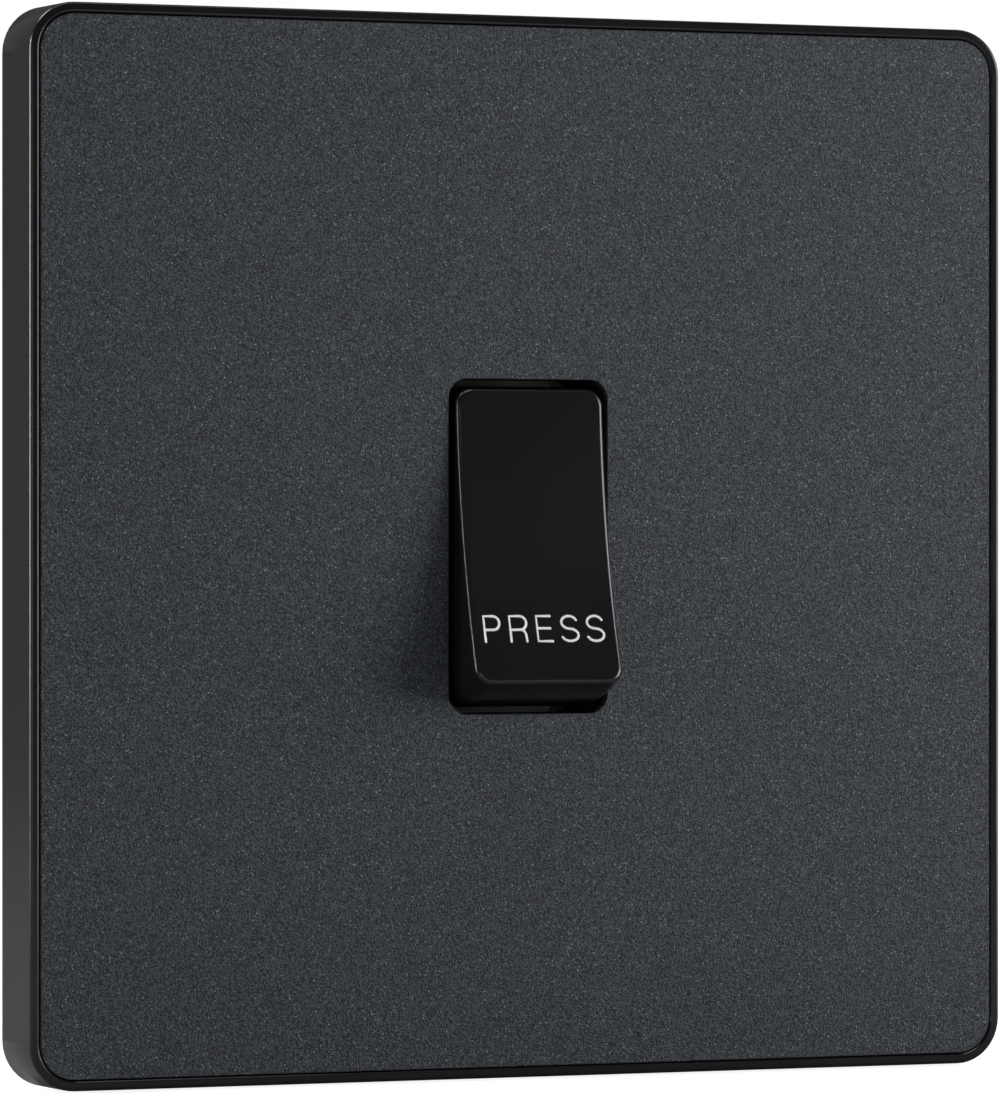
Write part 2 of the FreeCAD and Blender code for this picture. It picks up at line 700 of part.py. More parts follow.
def make_housing():
    """The module's rear moulding: contact chamber, sockets' posts, return spring's seat, terminal cradles."""
    body = new_body("switch_housing")
    case = new_sketch(body, "XZ", "-floor_back")
    add_rounded(case, "module_width", "module_length", "module_corner")
    pad(body, case, "floor_back - bezel_depth")
    chamber = new_sketch(body, "XZ", "-floor_front")
    add_rounded(chamber, "chamber_width", "chamber_length", "chamber_corner")
    pocket(body, chamber, "floor_front - bezel_depth")
    spine = new_sketch(body, "XZ", "-terminal_back")
    add_box_outline(spine, "-spine_back", "-cradle_spine", "-spine_length / 2", "spine_length / 2")
    pad(body, spine, "terminal_back - floor_back + weld")
    upper_wall = ("cradle_inside / 2", "cradle_outside / 2")
    lower_wall = ("-cradle_outside / 2", "-cradle_inside / 2")
    for middle in ("terminal_pitch", "common_place", "-terminal_pitch"):
        for low, high in (upper_wall, lower_wall):
            wall = new_sketch(body, "XZ", "-terminal_back")
            start, end = "-cradle_spine - weld", "terminal_length / 2"
            add_box_outline(wall, start, end, f"{middle} + {low}", f"{middle} + {high}")
            pad(body, wall, "terminal_back - floor_back + weld")
    foot = new_sketch(body, "XZ", "-floor_back - tongue_thickness - leg_play")
    wide = "(tongue_width / 2 + leg_play)"
    thick = "(tongue_thickness / 2 + leg_play)"
    add_box_outline(foot, f"-{wide}", wide, f"-{thick}", "common_place - cradle_inside / 2 + cut_margin")
    pocket(body, foot, "tongue_thickness + leg_play")
    slots = new_sketch(body, "XZ", "-floor_back - cut_margin")
    add_box_outline(slots, f"-{wide}", wide, "leg_near - leg_play", "leg_far + leg_play")
    add_box_outline(slots, f"-{wide}", wide, "-leg_far - leg_play", "-leg_near + leg_play")
    add_box_outline(slots, f"-{wide}", wide, f"-{thick}", thick)
    pocket(body, slots, "floor_thickness + 2 * cut_margin")
    ledge = new_sketch(body, "XZ", "return_seat_height - return_seat_thickness")
    add_box_outline(
        ledge,
        "-chamber_width / 2 - weld",
        "chamber_width / 2 + weld",
        "-return_spring_place - return_seat_width / 2",
        "-return_spring_place + return_seat_width / 2",
    )
    pad(body, ledge, "return_seat_thickness")
    for side in ("", "-"):
        post = new_sketch(body, "YZ", "post_near" if side == "" else "-post_far")
        half = "socket_radius - running_gap"
        add_outline(
            post,
            [
                ("-pivot_height + post_top_drop", f"-({half})"),
                ("bezel_depth + post_root", f"-({half})"),
                ("bezel_depth + post_root", half),
                ("-pivot_height + post_top_drop", half),
            ],
        )
        pad(body, post, "post_far - post_near")
        root = new_sketch(body, "YZ", "post_near" if side == "" else "-chamber_width / 2 - weld")
        add_outline(
            root,
            [
                ("bezel_depth", f"-({half})"),
                ("bezel_depth + post_root", f"-({half})"),
                ("bezel_depth + post_root", half),
                ("bezel_depth", half),
            ],
        )
        pad(body, root, "chamber_width / 2 + weld - post_near")
    saddle = new_sketch(body, "YZ")
    add_circle(saddle, "socket_radius", "-pivot_height")
    pocket(body, saddle, "2 * socket_end", both_ways=True)
    holes = new_sketch(body, "XZ", "-floor_back - cut_margin")
    for across, up in case_screw_places():
        add_circle(holes, "case_screw_radius + case_screw_play", across, up)
    pocket(body, holes, "floor_back - bezel_depth + 2 * cut_margin")


def make_rocker():
    """The dished rocker, hollow behind, with trunnions, plunger tube and the return spring's peg."""
    body = new_body("rocker")
    profile = new_sketch(body, "YZ")
    inwards = ("0", "0")
    upper_side, lower_side = ("0", "2 * rocker_half_length"), ("0", "-2 * rocker_half_length")
    add_outline(
        profile,
        [
            ("-rocker_front", "rocker_half_length", "dish_radius", inwards),
            ("-rocker_front", "-rocker_half_length", "rocker_end_radius", lower_side),
            ("rocker_skirt", "-skirt_half_length"),
            ("rocker_skirt", "skirt_half_length", "rocker_end_radius", upper_side),
        ],
    )
    pad(body, profile, "rocker_width", both_ways=True)
    half_width = value("rocker_width / 2")

    def end_corner(edge):
        box = edge.BoundBox
        at_side = lies_at(edge, "X", half_width) or lies_at(edge, "X", -half_width)
        return at_side and box.ZMin * box.ZMax > 0 and box.YLength > value("rocker_front")

    dress(body, "Fillet", "rocker_corner", end_corner)
    deepest = CLOSE - value("rocker_front - rocker_dish")
    dress(body, "Fillet", "rocker_edge", lambda edge: edge.BoundBox.YMax < deepest)
    hollow = new_sketch(body, "YZ")
    add_outline(
        hollow,
        [
            ("-hollow_front", "hollow_half_length", "dish_radius", inwards),
            ("-hollow_front", "-hollow_half_length", "hollow_end_radius", lower_side),
            ("rocker_skirt", "-hollow_skirt_half"),
            ("rocker_skirt", "hollow_skirt_half", "hollow_end_radius", upper_side),
        ],
    )
    pocket(body, hollow, "hollow_width", both_ways=True)
    tube = new_sketch(body, "XZ", "-tube_end")
    add_circle(tube, "tube_radius")
    pad(body, tube, "tube_end + dish_floor + rocker_wall / 2")
    rib = new_sketch(body, "YZ")
    add_box_outline(rib, "-dish_floor - rocker_wall / 2", "rocker_skirt", "-tube_rib / 2", "tube_rib / 2")
    pad(body, rib, "hollow_width + rocker_wall", both_ways=True)
    bore = new_sketch(body, "XZ", "-tube_end")
    add_circle(bore, "plunger_bore")
    pocket(body, bore, "tube_end + plunger_spring_seat")
    trunnion_root = "rocker_width / 2 - rocker_wall / 2"
    for side in ("", "-"):
        trunnion = new_sketch(body, "YZ", trunnion_root if side == "" else "-trunnion_end")
        add_circle(trunnion, "trunnion_radius")
        pad(body, trunnion, f"trunnion_end - ({trunnion_root})")
    peg = new_sketch(body, "XZ", "dish_floor - spring_peg_length")
    add_circle(peg, "spring_peg_radius", "0", "-return_spring_place")
    pad(body, peg, "spring_peg_length + rocker_wall")
    place_on_pivot(body, "-pivot_height", "rest_tilt", Vector(-1, 0, 0))


def make_plunger():
    """The nose that slides in the rocker's tube and tips the contact over."""
    body = new_body("rocker_plunger")
    nose_side = ("plunger_radius", "plunger_tip")
    revolve(
        body,
        [
            ("0", "plunger_back - plunger_spigot_length"),
            ("plunger_spigot_radius", "plunger_back - plunger_spigot_length"),
            ("plunger_spigot_radius", "plunger_back"),
            ("plunger_radius", "plunger_back"),
            ("plunger_radius", "plunger_tip - plunger_radius", "plunger_radius", nose_side),
            ("0", "plunger_tip"),
            ("0", "plunger_tip / 2"),
        ],
    )
    place_on_pivot(body, "-pivot_height", "rest_tilt", Vector(-1, 0, 0))


def make_plunger_spring():
    """The small spring behind the plunger, in the same tube."""
    body = new_body("plunger_spring")
    length = "(plunger_back + plunger_spring_seat - 2 * plunger_spring_gap)"
    middle = "plunger_spring_outer - plunger_spring_wire"
    coil(body, middle, "plunger_spring_wire", "plunger_spring_pitch", length)
    body.Placement = Placement(Vector(0, 0, 0), Rotation(Vector(-1, 0, 0), 1))
    bind(body, "Placement.Rotation.Angle", "rest_tilt * 1 deg")
    reach = "(plunger_spring_seat - plunger_spring_gap)"
    bind(body, "Placement.Base.y", f"-pivot_height - {reach} * cos(rest_tilt)")
    bind(body, "Placement.Base.z", f"{reach} * sin(rest_tilt)")


def make_return_spring():
    body = new_body("return_spring")
    coil(body, "return_spring_radius", "return_spring_wire", "return_spring_pitch", "return_spring_length")
    place(body, "0", "return_seat_front - return_spring_length - running_gap", "-return_spring_place")


def make_moving_contact():
    """The see-saw strip, rounded at its ends, lying on the common terminal's blade."""
    body = new_body("moving_contact")
    strip = new_sketch(body, "XZ")
    add_rounded(strip, "strip_width", "2 * strip_reach", "strip_corner")
    pad(body, strip, "strip_thickness")
    place_on_pivot(body, "strip_place", "contact_angle", Vector(1, 0, 0))


def make_tips(label, height):
    """Two silver tips, one for each end of the contact, as separate solids of one body."""
    body = new_body(label)
    body.AllowCompound = True
    for end in ("", "-"):
        tip = new_sketch(body, "XZ", f"-({height})")
        add_circle(tip, "tip_radius", "0", f"{end}tip_place")
        pad(body, tip, height)
    return body


def add_block(body, middle, front, back):
    """A terminal's brass block about a height on Z, with its rear edges bevelled."""
    block = new_sketch(body, "XZ", f"-({back})")
    add_box_outline(
        block,
        "-terminal_length / 2",
        "terminal_length / 2",
        f"{middle} - terminal_width / 2",
        f"{middle} + terminal_width / 2",
    )
    pad(body, block, f"{back} - ({front})")
    dress(body, "Chamfer", "terminal_edge", lambda edge: lies_at(edge, "Y", value(back)))


def drill_block(body, middle, wire_height, back):
    """The wire's bore along X and the clamp screw's hole into it from behind."""
    wire = new_sketch(body, "YZ")
    add_circle(wire, "wire_radius", wire_height, middle)
    pocket(body, wire, "2 * terminal_length", both_ways=True)
    clamp = new_sketch(body, "XZ", f"-({back}) - cut_margin")
    add_circle(clamp, "clamp_radius + clamp_play", "0", middle)
    pocket(body, clamp, f"({back}) - ({wire_height}) + cut_margin")


def make_line_terminal(label, end):
    """A line terminal: tongue under the contact's end, leg through the floor, block in its cradle."""
    body = new_body(label)
    middle = f"{end}terminal_pitch"
    add_block(body, middle, "floor_back", "terminal_back")
    leg = new_sketch(body, "XZ", "-floor_back - weld")
    near, far = ("leg_near", "leg_far") if end == "" else ("-leg_far", "-leg_near")
    add_box_outline(leg, "-tongue_width / 2", "tongue_width / 2", near, far)
    pad(body, leg, "floor_back + weld - tongue_front")
    tongue = new_sketch(body, "XZ", "-floor_front")
    near, far = ("tongue_near", "leg_far") if end == "" else ("-leg_far", "-tongue_near")
    add_box_outline(tongue, "-tongue_width / 2", "tongue_width / 2", near, far)
    pad(body, tongue, "tongue_thickness")
    drill_block(body, middle, "wire_depth", "terminal_back")


def make_common_terminal():
    """The common terminal: the blade that the contact rocks on, two ears beside it, and its block, which
    stands off the fixing screws' line so that its wire passes them."""
    body = new_body("common_terminal")
    add_block(body, "common_place", "floor_back", "terminal_back")
    foot = new_sketch(body, "XZ", "-floor_back - tongue_thickness")
    foot_end = "common_place - terminal_width / 2 + weld"
    add_box_outline(foot, "-tongue_width / 2", "tongue_width / 2", "-tongue_thickness / 2", foot_end)
    pad(body, foot, "tongue_thickness")
    blade = new_sketch(body, "XZ", "-floor_back - weld")
    add_rounded(blade, "tongue_width", "tongue_thickness", "blade_corner")
    pad(body, blade, "floor_back + weld - (strip_place + running_gap)")
    dress(body, "Fillet", "blade_edge", lambda edge: lies_at(edge, "Y", value("strip_place + running_gap")))
    saddle = new_sketch(body, "XZ", "-floor_front")
    add_box_outline(saddle, "-ear_far", "ear_far", "-ear_width / 2", "ear_width / 2")
    pad(body, saddle, "tongue_thickness")
    for side in ("", "-"):
        ear = new_sketch(body, "XZ", "-floor_front")
        near, far = ("ear_near", "ear_far") if side == "" else ("-ear_far", "-ear_near")
        add_box_outline(ear, near, far, "-ear_width / 2", "ear_width / 2")
        pad(body, ear, "tongue_thickness + ear_height")
    drill_block(body, "common_place", "wire_depth", "terminal_back")


def make_clamp_screw(label, across, up, wire_height, back):
    """A terminal's clamp screw, backed out so that its end is clear of the wire's bore."""
    body = new_body(label)
    shank = f"({back}) - ({wire_height}) - wire_radius - clamp_tip_gap + clamp_stand"
    revolve(
        body,
        [
            ("0", "0"),
            ("clamp_radius", "0"),
            ("clamp_radius", shank),
            ("clamp_head_radius", shank),
            ("clamp_head_radius", f"{shank} + clamp_head_height"),
            ("0", f"{shank} + clamp_head_height"),
            ("0", f"({shank}) / 2"),
        ],
    )
    groove = new_sketch(body, "XZ", f"-({shank} + clamp_head_height)")
    past = "(clamp_head_radius + cut_margin)"
    add_box_outline(groove, f"-{past}", past, "-clamp_driver_slot / 2", "clamp_driver_slot / 2")
    pocket(body, groove, "clamp_head_height / 2")
    place(body, across, f"({wire_height}) + wire_radius + clamp_tip_gap", up)


def make_case_screws():
    """Four small screws that hold the two mouldings together, as separate solids of one body."""
    body = new_body("case_screws")
    body.AllowCompound = True
    for across, up in case_screw_places():
        shank = new_sketch(body, "XZ", "-floor_back")
        add_circle(shank, "case_screw_radius", across, up)
        pad(body, shank, "floor_back + case_screw_reach - case_screw_end_gap")
        head = new_sketch(body, "XZ", "-floor_back - case_screw_head_height")
        add_circle(head, "case_screw_head_radius", across, up)
        pad(body, head, "case_screw_head_height")
        cross = new_sketch(body, "XZ", "-floor_back - case_screw_head_height")
        add_rounded(cross, "2 * case_screw_radius", "case_screw_slot", "case_slot_corner", across, up)
        pocket(body, cross, "case_screw_head_height / 2")


def make_earth_terminal():
    """The earth block behind the yoke, with the rivet that holds it through the sheet."""
    body = new_body("earth_terminal")
    back = "earth_height - yoke_lift"
    wire = "earth_wire_floor + wire_radius - yoke_lift"
    add_block(body, "0", "-yoke_lift", back)
    rivet = new_sketch(body, "XZ", "yoke_lift - weld")
    add_circle(rivet, "rivet_radius - running_gap")
    pad(body, rivet, "yoke_sheet + weld")
    head = new_sketch(body, "XZ", "yoke_front")
    add_circle(head, "rivet_head_radius")
    pad(body, head, "rivet_head_height")
    drill_block(body, "0", wire, back)
    place(body, "earth_place_x", "0", "earth_place_z")
    make_clamp_screw("earth_screw", "earth_place_x", "earth_place_z", wire, back)


def check_model():
    """Stop if a feature failed, a cut removed nothing, or a piece has no sound solid."""
    for thing in doc.Objects:
        if "Invalid" in thing.State or "Error" in thing.State:
            raise RuntimeError(f"{thing.Name} ({thing.Label}) failed: {thing.State}")
        if thing.TypeId == "PartDesign::Pocket":
            removed = thing.BaseFeature.Shape.Volume - thing.Shape.Volume
            if removed < CLOSE:
                raise RuntimeError(f"{thing.Name} cuts nothing")
    for body in bodies():
        if body.Shape.isNull() or not body.Shape.isValid() or not body.Shape.Solids:
            raise RuntimeError(f"{body.Label} has no sound solid")


def bodies():
    return [thing for thing in doc.Objects if thing.TypeId == "PartDesign::Body"]


def build():
    fill_sheet()
    make_trim_frame()
    make_face_plate()
    make_yoke()
    make_fixing_screw("fixing_screw_left", "-")
    make_fixing_screw("fixing_screw_right", "")
    make_bezel()
    make_housing()
    make_rocker()
    make_plunger()
    make_plunger_spring()
    make_return_spring()
    make_moving_contact()
    moving_tips = make_tips("moving_contact_tips", "moving_tip_height")
    place_on_pivot(moving_tips, "strip_place", "contact_angle", Vector(1, 0, 0))
    place(make_tips("fixed_contact_tips", "fixed_tip_height"), "0", "fixed_tip_front")
    make_line_terminal("l1_terminal", "")
    make_line_terminal("l2_terminal", "-")
    make_common_terminal()
    make_clamp_screw("l1_screw", "0", "terminal_pitch", "wire_depth", "terminal_back")
    make_clamp_screw("l2_screw", "0", "-terminal_pitch", "wire_depth", "terminal_back")
    make_clamp_screw("common_screw", "0", "common_place", "wire_depth", "terminal_back")
    make_case_screws()
    make_earth_terminal()
    doc.recompute()
    check_model()
    os.makedirs("parts", exist_ok=True)
    for body in bodies():
        body.Shape.exportStep(f"parts/{body.Label}.step")
        box = body.Shape.BoundBox
        print(f"{body.Label}: {len(body.Shape.Solids)} solid, {body.Shape.Volume:.1f} mm3, "
              f"y {box.YMin:.2f} to {box.YMax:.2f}")


build()
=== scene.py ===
# %% [markdown]
# # A press switch on a clip-on wall plate
# This lesson dresses a finished construction model. The solids come in already at their real place
# and size, in metres, and nothing here moves or resizes them. What is left to do is what a product
# photographer and a finisher would do: light the plate, give every surface its own finish, print
# the word on the rocker, roll the threads on the screws and wind the spring.

import json
import math

import bmesh
import bpy
from mathutils import Matrix, Vector
from mathutils.bvhtree import BVHTree


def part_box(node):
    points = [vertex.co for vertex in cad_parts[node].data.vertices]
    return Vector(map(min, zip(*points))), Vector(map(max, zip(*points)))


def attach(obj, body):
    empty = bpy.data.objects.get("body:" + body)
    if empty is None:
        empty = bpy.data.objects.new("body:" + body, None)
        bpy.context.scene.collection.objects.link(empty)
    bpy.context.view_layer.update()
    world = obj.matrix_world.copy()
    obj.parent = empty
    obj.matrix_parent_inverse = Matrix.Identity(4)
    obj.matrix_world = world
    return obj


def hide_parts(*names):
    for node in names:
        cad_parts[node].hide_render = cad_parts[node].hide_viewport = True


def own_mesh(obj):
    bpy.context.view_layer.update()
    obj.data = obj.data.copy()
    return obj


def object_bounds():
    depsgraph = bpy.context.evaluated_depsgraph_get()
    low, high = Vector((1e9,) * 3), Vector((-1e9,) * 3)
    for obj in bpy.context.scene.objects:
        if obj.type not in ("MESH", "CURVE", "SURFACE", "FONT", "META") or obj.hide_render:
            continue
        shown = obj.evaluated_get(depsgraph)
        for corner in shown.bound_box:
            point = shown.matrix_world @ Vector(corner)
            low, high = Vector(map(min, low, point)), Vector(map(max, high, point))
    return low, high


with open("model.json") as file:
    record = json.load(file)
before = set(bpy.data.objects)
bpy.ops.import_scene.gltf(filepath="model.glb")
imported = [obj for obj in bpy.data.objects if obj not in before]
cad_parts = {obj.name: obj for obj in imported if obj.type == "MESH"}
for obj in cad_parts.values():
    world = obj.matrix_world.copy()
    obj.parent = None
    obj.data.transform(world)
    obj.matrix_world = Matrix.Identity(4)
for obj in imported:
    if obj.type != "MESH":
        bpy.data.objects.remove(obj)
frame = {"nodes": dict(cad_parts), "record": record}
nodes = frame["nodes"]
record = frame["record"]
cad_box = [list(corner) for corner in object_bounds()]
MM = 0.001
print("pieces:", len(nodes))
print("box in mm:", [[round(value / MM, 2) for value in corner] for corner in cad_box])

# %% [markdown]
# ## The camera
# The reference was taken with a long lens from the left, level with the rocker: the left edge of
# the plate shows its full thickness and the right edge is foreshortened. A plain look-at with the
# solved distance and lens gives the same perspective, so no shift is needed. The frame is taller
# than it is wide, so the sensor is fitted to the height.

# %% Camera
CAMERA_YAW = math.radians(23.977)
CAMERA_DISTANCE = 0.657
AIM = Vector((0.000382, 0.0, 0.0))
PHOTO_HEIGHT = 1093
FOCAL_PIXELS = 7424
SENSOR = 36.0
NEAR_CLIP = 0.01

looking = Vector((math.sin(CAMERA_YAW), math.cos(CAMERA_YAW), 0.0))
camera_data = bpy.data.cameras.new("camera")
camera_data.sensor_fit = "VERTICAL"
camera_data.sensor_height = SENSOR
camera_data.lens = FOCAL_PIXELS * SENSOR / PHOTO_HEIGHT
camera_data.clip_start = NEAR_CLIP
camera = bpy.data.objects.new("camera", camera_data)
camera.location = AIM - looking * CAMERA_DISTANCE
camera.rotation_euler = looking.to_track_quat("-Z", "Y").to_euler()
bpy.context.scene.collection.objects.link(camera)
bpy.context.scene.camera = camera
print("camera at", [round(value, 4) for value in camera.location])
print("lens in mm:", round(camera_data.lens, 1))

# %% [markdown]
# ## The studio
# A dark glossy thing is lit by what it mirrors. The front of the black rim mirrors the room to the
# right of the camera, which stays dim, while its side mirrors a pale panel behind it on the left.
# A soft box further round to the right gives the face its fall of light and throws the rocker's
# soft shadow to the left, and a weak lamp behind the camera keeps that shadow open. Two strips on
# the left draw the thin bright lines. The broad one stands a little behind the plate: it can't
# reach the face at all, and only catches the rim's rounded edge. The narrow one stands in front of
# it and catches the rocker's. Two lamps overhead soften the upper edges and the upper left corner,
# and one at the rear is for views from behind. A spot lights the floor in front, whose glow comes
# back up under the rocker and along the lower edges. The camera sees a white room and a white
# floor, which is how a cut-out catalogue picture looks.

# %% Floor and surroundings
FLOOR_SIZE = 3.0
FLOOR_DROP = 0.2 * MM
FLOOR_GREY = 0.28
FLOOR_GLOW = 0.90
ROOM_GREY = 0.085


def seen_or_lit(tree, for_light, for_camera):
    """One shader for light that bounces, another for what the camera sees directly."""
    choose = tree.nodes.new("ShaderNodeMixShader")
    path = tree.nodes.new("ShaderNodeLightPath")
    tree.links.new(path.outputs["Is Camera Ray"], choose.inputs[0])
    tree.links.new(for_light.outputs[0], choose.inputs[1])
    tree.links.new(for_camera.outputs[0], choose.inputs[2])
    return choose.outputs[0]


def make_floor():
    mesh = bpy.data.meshes.new("floor")
    shape = bmesh.new()
    bmesh.ops.create_grid(shape, x_segments=1, y_segments=1, size=FLOOR_SIZE / 2)
    bmesh.ops.translate(shape, verts=shape.verts, vec=(0, 0, cad_box[0][2] - FLOOR_DROP))
    shape.to_mesh(mesh)
    shape.free()
    floor = bpy.data.objects.new("floor", mesh)
    bpy.context.scene.collection.objects.link(floor)
    material = bpy.data.materials.new("pale_floor")
    material.use_nodes = True
    tree = material.node_tree
    tree.nodes.clear()
    grey = tree.nodes.new("ShaderNodeBsdfDiffuse")
    grey.inputs["Color"].default_value = (FLOOR_GREY, FLOOR_GREY, FLOOR_GREY, 1.0)
    glow = tree.nodes.new("ShaderNodeEmission")
    glow.inputs["Strength"].default_value = FLOOR_GLOW
    both = tree.nodes.new("ShaderNodeAddShader")
    tree.links.new(grey.outputs[0], both.inputs[0])
    tree.links.new(glow.outputs[0], both.inputs[1])
    output = tree.nodes.new("ShaderNodeOutputMaterial")
    tree.links.new(seen_or_lit(tree, grey, both), output.inputs["Surface"])
    mesh.materials.append(material)


def make_room():
    world = bpy.data.worlds.new("room")
    world.use_nodes = True
    tree = world.node_tree
    tree.nodes.clear()
    room = tree.nodes.new("ShaderNodeBackground")
    room.inputs["Color"].default_value = (1.0, 1.0, 1.02, 1.0)
    room.inputs["Strength"].default_value = ROOM_GREY
    white = tree.nodes.new("ShaderNodeBackground")
    white.inputs["Color"].default_value = (1.0, 1.0, 1.0, 1.0)
    output = tree.nodes.new("ShaderNodeOutputWorld")
    tree.links.new(seen_or_lit(tree, room, white), output.inputs["Surface"])
    bpy.context.scene.world = world


make_floor()
make_room()
bpy.context.scene.view_settings.view_transform = "Standard"
print("floor at z", round(cad_box[0][2] - FLOOR_DROP, 5))

# %% Lamps
PLATE_MIDDLE = (0.0, 0.0, 0.0)
# name, place, width, height, power in watts
AREA_LAMPS = (
    ("soft_box_right", (0.35, -0.19, -0.08), 0.24, 0.50, 3.0),
    ("front_fill", (-0.40, -0.90, -0.2), 0.60, 0.60, 2.5),
    ("edge_strip_left", (-0.80, 0.16, 0.0), 0.25, 0.70, 11.0),
    ("rocker_strip_left", (-0.80, -0.12, 0.0), 0.04, 0.70, 2.4),
    ("side_panel_left", (-0.41, 0.91, 0.2), 1.00, 1.20, 0.25),
    ("top_fill", (0.05, -0.15, 0.80), 0.50, 0.25, 1.2),
    ("corner_strip", (-0.36, 0.10, 0.68), 0.30, 0.30, 4.0),
    ("rear_fill", (0.80, 0.55, 0.60), 0.60, 0.60, 3.5),
)
WASH_POWER = 14.0
WASH_ANGLE = math.radians(26)
WASH_BLEND = 0.6
WASH_RADIUS = 0.03
WASH_PLACE = (0.10, -0.30, 0.45)
WASH_TARGET = (0.035, -0.17, cad_box[0][2])


def hang_lamp(data, place, target):
    """Put a lamp at a place, facing a target."""
    lamp = bpy.data.objects.new(data.name, data)
    lamp.location = place
    facing = Vector(target) - Vector(place)
    lamp.rotation_euler = facing.to_track_quat("-Z", "Y").to_euler()
    bpy.context.scene.collection.objects.link(lamp)


for name, place, width, height, power in AREA_LAMPS:
    panel = bpy.data.lights.new(name, "AREA")
    panel.shape = "RECTANGLE"
    panel.size, panel.size_y = width, height
    panel.energy = power
    hang_lamp(panel, place, PLATE_MIDDLE)

wash = bpy.data.lights.new("floor_wash", "SPOT")
wash.energy = WASH_POWER
wash.spot_size = WASH_ANGLE
wash.spot_blend = WASH_BLEND
wash.shadow_soft_size = WASH_RADIUS
hang_lamp(wash, WASH_PLACE, WASH_TARGET)
print("lamps:", len(bpy.data.lights))

# %% [markdown]
# ## Shared surface effects
# Three effects come back in several finishes, so each is a node group with named sockets, built
# once. Powder coat has a fine pebbled skin with brighter flakes. Moulded plastic has a faint, much
# finer texture. Worked metal has soft clouds of tone. All of them read Object coordinates, which
# are metres here, so a scale is simply one over the size of the pattern.

# %% Helpers for node trees
FLOAT = "NodeSocketFloat"
NOISE = "ShaderNodeTexNoise"


def new_group(name, inputs, outputs):
    """A shader node group of float sockets, with its input and output nodes."""
    group = bpy.data.node_groups.new(name, "ShaderNodeTree")
    for label, value in inputs.items():
        socket = group.interface.new_socket(label, in_out="INPUT", socket_type=FLOAT)
        socket.default_value = value
    for label in outputs:
        group.interface.new_socket(label, in_out="OUTPUT", socket_type=FLOAT)
    return group, group.nodes.new("NodeGroupInput"), group.nodes.new("NodeGroupOutput")


def texture(group, kind, where, scale, **numbers):
    """A procedural texture that reads a position and a scale from sockets."""
    node = group.nodes.new(kind)
    for label, value in numbers.items():
        node.inputs[label].default_value = value
    group.links.new(where, node.inputs["Vector"])
    group.links.new(scale, node.inputs["Scale"])
    return node


def math_node(tree, operation, first, second, third=None):
    """A Math node whose operands are sockets or numbers."""
    node = tree.nodes.new("ShaderNodeMath")
    node.operation = operation
    for index, operand in enumerate((first, second, third)):
        if operand is None:
            continue
        if isinstance(operand, (int, float)):
            node.inputs[index].default_value = operand
        else:
            tree.links.new(operand, node.inputs[index])
    return node.outputs[0]


def mix_colors(tree, factor, first, second):
    """A colour mix, with sockets or plain colours."""
    node = tree.nodes.new("ShaderNodeMix")
    node.data_type = "RGBA"
    tree.links.new(factor, node.inputs[0])
    for socket, operand in ((node.inputs[6], first), (node.inputs[7], second)):
        if isinstance(operand, tuple):
            socket.default_value = (*operand, 1.0)
        else:
            tree.links.new(operand, socket)
    return node.outputs[2]


def ramp(tree, socket, low, high):
    """Stretch low..high to 0..1, clamped."""
    node = tree.nodes.new("ShaderNodeMapRange")
    node.inputs["From Min"].default_value = low
    node.inputs["From Max"].default_value = high
    tree.links.new(socket, node.inputs["Value"])
    return node.outputs["Result"]


print("socket type:", FLOAT)

# %% Node groups


def make_powder_group():
    """Powder coat: a pebbled tone and height, and sparkles where a chosen cell has its core."""
    group, given, out = new_group(
        "powder_coat", {"Pebble": 7200.0, "Flake": 6500.0}, ("Tone", "Sparkle", "Height")
    )
    where = group.nodes.new("ShaderNodeTexCoord").outputs["Object"]
    pebble = texture(group, NOISE, where, given.outputs["Pebble"], Detail=2.0, Roughness=0.6)
    flake = texture(group, "ShaderNodeTexVoronoi", where, given.outputs["Flake"])
    chance = group.nodes.new("ShaderNodeSeparateColor")
    group.links.new(flake.outputs["Color"], chance.inputs[0])
    chosen = ramp(group, chance.outputs["Red"], 0.90, 1.0)
    core = ramp(group, flake.outputs["Distance"], 0.55, 0.15)
    group.links.new(ramp(group, pebble.outputs["Fac"], 0.42, 0.58), out.inputs["Tone"])
    group.links.new(math_node(group, "MULTIPLY", chosen, core), out.inputs["Sparkle"])
    group.links.new(pebble.outputs["Fac"], out.inputs["Height"])
    return group


def make_mould_group():
    """Moulded plastic: a fine tone and height, and a slow cloud."""
    group, given, out = new_group(
        "moulded_skin", {"Grain": 9000.0, "Cloud": 60.0}, ("Tone", "Cloud", "Height")
    )
    where = group.nodes.new("ShaderNodeTexCoord").outputs["Object"]
    fine = texture(group, NOISE, where, given.outputs["Grain"], Detail=1.0)
    cloud = texture(group, NOISE, where, given.outputs["Cloud"], Detail=3.0)
    group.links.new(ramp(group, fine.outputs["Fac"], 0.35, 0.65), out.inputs["Tone"])
    group.links.new(ramp(group, cloud.outputs["Fac"], 0.35, 0.65), out.inputs["Cloud"])
    group.links.new(fine.outputs["Fac"], out.inputs["Height"])
    return group


